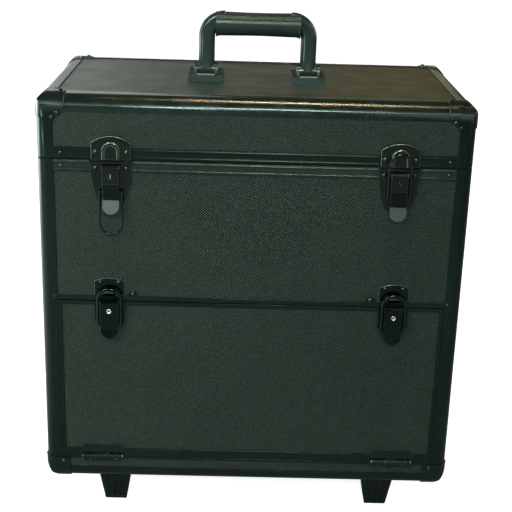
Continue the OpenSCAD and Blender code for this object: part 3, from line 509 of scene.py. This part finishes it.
# The left tip gets the painted highlight, the right tip the darker painted-shade copy.
for name, tip in (("upper_left_lever", TIP_HIGHLIT), ("upper_right_lever", TIP_SHADED)):
    dress(name, 0.28, second=tip, third=NIGHT, where=stepped(name, UPPER_TIP, UPPER_SHANK), edge=EDGE_WEAR_AND_GLINT)
for name in ("lower_left_lever", "lower_right_lever"):
    dress(name, 0.22, first=NIGHT, second=NIGHT_TIP, where=below(name, LOWER_TIP), edge=EDGE_WEAR_AND_GLINT)
# The left slot gets the painted highlight, the right slot the darker painted-shade copy.
for name, slot in (("upper_left_plug", KEYWAY_HIGHLIT), ("upper_right_plug", KEYWAY_SHADED)):
    dress(name, 0.1, first=MATERIALS["latch_black"], second=slot,
          where=near_axis(name, KEYWAY_RADIUS, KEYWAY_DEPTH))
for name in ("left_wheel", "right_wheel"):
    dress(name, 0.8, second=HUB, where=near_axis(name, HUB_RADIUS, plane="yz"))


def skin(bm, a, b):
    """Faces between two loops of equal length."""
    return [bm.faces.new((a[i - 1], a[i], b[i], b[i - 1])) for i in range(len(a))]


def lofted(name, rings, *materials):
    """Closed tube through rings of equal length, capped at both ends."""
    bm = bmesh.new()
    loops = [[bm.verts.new(p) for p in ring] for ring in rings]
    for a, b in zip(loops, loops[1:]):
        skin(bm, a, b)
    bm.faces.new(loops[0])
    bm.faces.new(list(reversed(loops[-1])))
    bmesh.ops.recalc_face_normals(bm, faces=bm.faces)
    return new_object(name, bm, *materials)


def revolved(name, centre, profile, *materials):
    """Solid turned about an axis along Y through `centre`; `profile` holds radius, depth and material."""
    bm = bmesh.new()
    steps = 48
    turns = [2 * math.pi * i / steps for i in range(steps)]
    loops = [[bm.verts.new((centre.x + r * math.cos(a), centre.y + y, centre.z + r * math.sin(a)))
              for a in turns] for r, y, _ in profile]
    for a, b, (_, _, index) in zip(loops, loops[1:], profile[1:]):
        for face in skin(bm, a, b):
            face.material_index = index
    bm.faces.new(loops[0]).material_index = profile[0][2]
    bm.faces.new(list(reversed(loops[-1])))
    bmesh.ops.recalc_face_normals(bm, faces=bm.faces)
    return new_object(name, bm, *materials)


def dished_plug(node):
    """Polished key plug with a raised rim, a shallow dish and, in its middle, a recessed disc painted
    near-black as the shade inside the keyway.
    """
    low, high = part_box(node)
    centre = Vector(((low.x + high.x) / 2, low.y, (low.z + high.z) / 2))
    r = (high.x - low.x) / 2
    # The middle disc and its wall take the near-black lacquer as painted shade for the keyhole.
    chrome, dark = 0, 1
    bands = [(0.28 * r, 0.90 * MM, dark), (0.30 * r, 0.55 * MM, dark), (0.50 * r, 0.42 * MM, chrome),
             (0.68 * r, 0.22 * MM, chrome), (0.80 * r, 0.02 * MM, chrome), (0.88 * r, 0.0, chrome),
             (0.96 * r, 0.06 * MM, chrome), (r, 0.22 * MM, chrome), (r, high.y - low.y, chrome)]
    plug = revolved(node + "_dished", centre, bands, MATERIALS["key_plug"], NIGHT)
    soften(plug, 0, angle=50)
    stand(plug, BODY_OF[node], "key_plug", node)


def hand_grip():
    """Moulded grip: two half shells with a seam, a slight waist and ends that swell below into the arms."""
    stations, points = 40, 96
    inset, waist_depth, seam_depth = 0.2 * MM, 0.25 * MM, 0.45 * MM
    swell_height, swell_length = 1.4 * MM, 5 * MM
    seams, seam_width = (math.radians(38), math.radians(142)), math.radians(2.6)
    low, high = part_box("handle_grip")
    radius = (high.y - low.y) / 2
    centre_z = low.z + radius
    half = high.x
    rings = []
    for k in range(2 * stations + 1):
        x = half * math.sin(math.pi / 2 * (k / stations - 1))
        swell = max(0.0, 1 - (half - abs(x)) / swell_length) ** 2
        waist = waist_depth * math.cos(math.pi * x / half)
        ring = []
        for i in range(points):
            turn = 2 * math.pi * i / points
            off_seam = min(abs(turn - a) for a in seams)
            groove = seam_depth * math.exp(-((off_seam / seam_width) ** 2))
            drop = swell_height * swell * max(0.0, -math.sin(turn)) ** 2
            r = radius - inset - waist - groove + drop
            ring.append((x, MID_Y + r * math.cos(turn), centre_z + r * math.sin(turn)))
        rings.append(ring)
    grip = lofted("hand_grip", rings, GRIP)
    soften(grip, 0)
    stand(grip, "handle", "handle_plastic", "handle_grip")


def lid_lining():
    """Cloth skin on the inside of the lid's walls and top, open downwards."""
    low, high = Vector(walls_lo), Vector(walls_hi)
    side = BOARD + FIT
    mouth, shut = low.z + 1 * MM, lid_lo.z - FIT
    bm = bmesh.new()

    def loop(shrink, z):
        x0, x1 = low.x + side + shrink, high.x - side - shrink
        y0, y1 = low.y + side + shrink, high.y - side - shrink
        return [bm.verts.new((x, y, z)) for x, y in ((x0, y0), (x1, y0), (x1, y1), (x0, y1))]

    outer_mouth, outer_shut = loop(0, mouth), loop(0, shut)
    inner_mouth, inner_shut = loop(CLOTH, mouth), loop(CLOTH, shut - CLOTH)
    for a, b in ((outer_mouth, outer_shut), (inner_shut, inner_mouth), (inner_mouth, outer_mouth)):
        skin(bm, a, b)
    bm.faces.new(outer_shut)
    bm.faces.new(list(reversed(inner_shut)))
    bmesh.ops.recalc_face_normals(bm, faces=bm.faces)
    cloth = new_object("lid_lining", bm, MATERIALS["lining"])
    stand(soften(cloth, 0.2 * MM), "lid", "lining")


def door_lining():
    """Cloth sheet on the back of the door, inside its trim."""
    trim_lo, trim_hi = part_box("door_trim")
    frame_w, frame_low = 4.0 * MM, 9.2 * MM
    sheet_lo = Vector((trim_lo.x + frame_w, door_hi.y + 0.02 * MM, trim_lo.z + frame_low))
    sheet_hi = Vector((trim_hi.x - frame_w, door_hi.y + CLOTH, trim_hi.z - frame_w))
    bm = bmesh.new()
    bmesh.ops.create_cube(bm, size=1.0)
    for v in bm.verts:
        v.co = Vector([lo if c < 0 else hi for c, lo, hi in zip(v.co, sheet_lo, sheet_hi)])
    cloth = new_object("door_lining", bm, MATERIALS["lining"])
    stand(soften(cloth, 0.2 * MM), "door", "lining")


hand_grip()
lid_lining()
door_lining()
for name in ("lower_left_plug", "lower_right_plug"):
    dished_plug(name)


# ---- stage, light and camera ----


def area_light(name, at, aim, size, watts, rgb=PLAIN):
    """Softbox that faces `aim` and that the camera doesn't see."""
    light = bpy.data.lights.new(name, "AREA")
    light.shape = "RECTANGLE"
    light.size, light.size_y = size
    light.energy = watts
    light.color = rgb
    obj = bpy.data.objects.new(name, light)
    bpy.context.scene.collection.objects.link(obj)
    obj.location = at
    obj.visible_camera = False
    obj.rotation_mode = "QUATERNION"
    obj.rotation_quaternion = (Vector(aim) - Vector(at)).to_track_quat("-Z", "Y")


def floor():
    """Pale floor that keeps the shadow. Glossy pieces see it brighter towards the left."""
    half, drop = 9.0, 0.2 * MM
    bm = bmesh.new()
    corners = ((-half, -half), (half, -half), (half, half), (-half, half))
    bm.faces.new([bm.verts.new((x, y, -drop)) for x, y in corners])
    g = Graph("floor")
    at, _ = g.place()
    x, y, _ = g.split(at)
    rays = g.add("ShaderNodeLightPath")
    seen = g.math("MAXIMUM", rays.outputs["Is Camera Ray"], rays.outputs["Is Transmission Ray"])
    tint = g.times(g.span(g.noise(at, 3.0), 0.3, 0.7, 0.80, 0.84), g.span(seen, 0, 1, 0.35, 1))
    grey = g.add("ShaderNodeCombineColor")
    for socket in grey.inputs:
        g.join(tint, socket)
    g.set(Base_Color=grey.outputs[0], Roughness=0.9, Specular_IOR_Level=0.0)
    glow = g.times(g.span(x, -0.25, -0.7), g.span(y, -0.9, 0.1, 0.0, 1.2))
    mirrored = g.times(rays.outputs["Is Glossy Ray"], g.plus(glow, g.span(x, -0.6, 0.6, 0.24, 0.02)))
    away = g.add("ShaderNodeVectorMath", operation="LENGTH")
    g.join(at, away.inputs[0])
    white = g.span(away.outputs["Value"], 0.5, 1.8, 0.88, 1.0)
    g.shader.inputs["Emission Color"].default_value = (*PLAIN, 1)
    g.join(g.math("MAXIMUM", g.times(seen, white), mirrored), g.shader.inputs["Emission Strength"])
    new_object("floor", bm, g.material)


def studio():
    """White to the camera. All else sees a room with a bright back, a dim ceiling and a dark right wall."""
    world = bpy.data.worlds.new("studio")
    bpy.context.scene.world = world
    world.use_nodes = True
    tree = world.node_tree
    tree.nodes.clear()
    new, join = tree.nodes.new, tree.links.new
    axes = new("ShaderNodeSeparateXYZ")
    join(new("ShaderNodeTexCoord").outputs["Generated"], axes.inputs[0])

    def ramp(axis, low, high, to_low=0.0, to_high=1.0):
        node = new("ShaderNodeMapRange")
        join(axes.outputs[axis], node.inputs["Value"])
        for socket, v in (("From Min", low), ("From Max", high), ("To Min", to_low), ("To Max", to_high)):
            node.inputs[socket].default_value = v
        return node.outputs["Result"]

    def product(a, b):
        node = new("ShaderNodeMath")
        node.operation = "MULTIPLY"
        join(a, node.inputs[0])
        join(b, node.inputs[1])
        return node.outputs[0]

    warm = new("ShaderNodeMix")
    warm.data_type = "RGBA"
    warm.inputs["A"].default_value = (*NORTH, 1)
    warm.inputs["B"].default_value = (0.64, 0.62, 0.40, 1)
    join(ramp("X", -0.14, 0.06), warm.inputs["Factor"])
    back, ceiling = ramp("Y", -0.2, 0.9, 0.15, 0.58), ramp("Z", 0.25, 0.5, 1.0, 0.35)
    wall = ramp("X", 0.19, 0.28, 1.0, 0.25)
    room, plain = new("ShaderNodeBackground"), new("ShaderNodeBackground")
    join(warm.outputs["Result"], room.inputs["Color"])
    join(product(product(back, ceiling), wall), room.inputs["Strength"])
    plain.inputs["Color"].default_value = (*PLAIN, 1)
    plain.inputs["Strength"].default_value = 1.0
    mix = new("ShaderNodeMixShader")
    join(new("ShaderNodeLightPath").outputs["Is Camera Ray"], mix.inputs["Fac"])
    join(room.outputs[0], mix.inputs[1])
    join(plain.outputs[0], mix.inputs[2])
    join(mix.outputs[0], new("ShaderNodeOutputWorld").inputs["Surface"])


def camera():
    """The photo's view, from the fit to its image points."""
    pitch, yaw, roll = math.radians(-19.18), math.radians(-0.981), math.radians(358.23)
    turn = Matrix.Rotation(yaw, 3, "Z") @ Matrix.Rotation(pitch, 3, "X") @ Matrix.Rotation(roll, 3, "Y")
    right, ahead, up = turn.col
    cam = bpy.data.cameras.new("camera")
    cam.lens, cam.sensor_width = 78.92, 36.0
    obj = bpy.data.objects.new("camera", cam)
    bpy.context.scene.collection.objects.link(obj)
    axes = Matrix((right, up, -ahead)).transposed()
    obj.matrix_world = Matrix.Translation((-0.01423, -1.110685, 0.61838)) @ axes.to_4x4()
    bpy.context.scene.camera = obj


floor()
studio()
# name, place, aim, size, watts and colour
area_light("key", (-1.15, -1.40, 1.45), (0, 0, 0.28), (0.9, 0.9), 12.5, NORTH)
area_light("spark", (-0.75, -1.50, 1.35), (0, 0, 0.28), (0.22, 0.22), 5, NOON)
area_light("front_soft", (0.08, -2.0, 1.38), (0, 0, 0.42), (0.30, 0.66), 19, NOON)
area_light("warm_strip", (0.115, -0.33, 1.92), (0.13, -0.12, 0.42), (0.46, 0.06), 7, AMBER)
area_light("low_front", (-1.5, -1.75, 0.10), (0, 0, 0.46), (0.5, 0.2), 3, DAY)
area_light("left_side", (-1.6, 0.05, 0.45), (-0.2, 0, 0.25), (0.7, 1.2), 8, DAY)
area_light("left_low", (-1.25, 0.30, 0.14), (-0.2, 0, 0.30), (0.5, 0.28), 3, DAY)
area_light("right_side", (1.9, 0.45, 1.0), (0.2, 0.05, 0.22), (1.2, 1.2), 9)
area_light("rear", (-0.9, 2.1, 1.7), (0, 0.1, 0.25), (1.2, 1.2), 4.5, DAY)
area_light("fill", (1.3, -1.6, 0.9), (0, 0, 0.25), (1.2, 1.2), 3)
camera()
bpy.context.scene.view_settings.view_transform = "Standard"
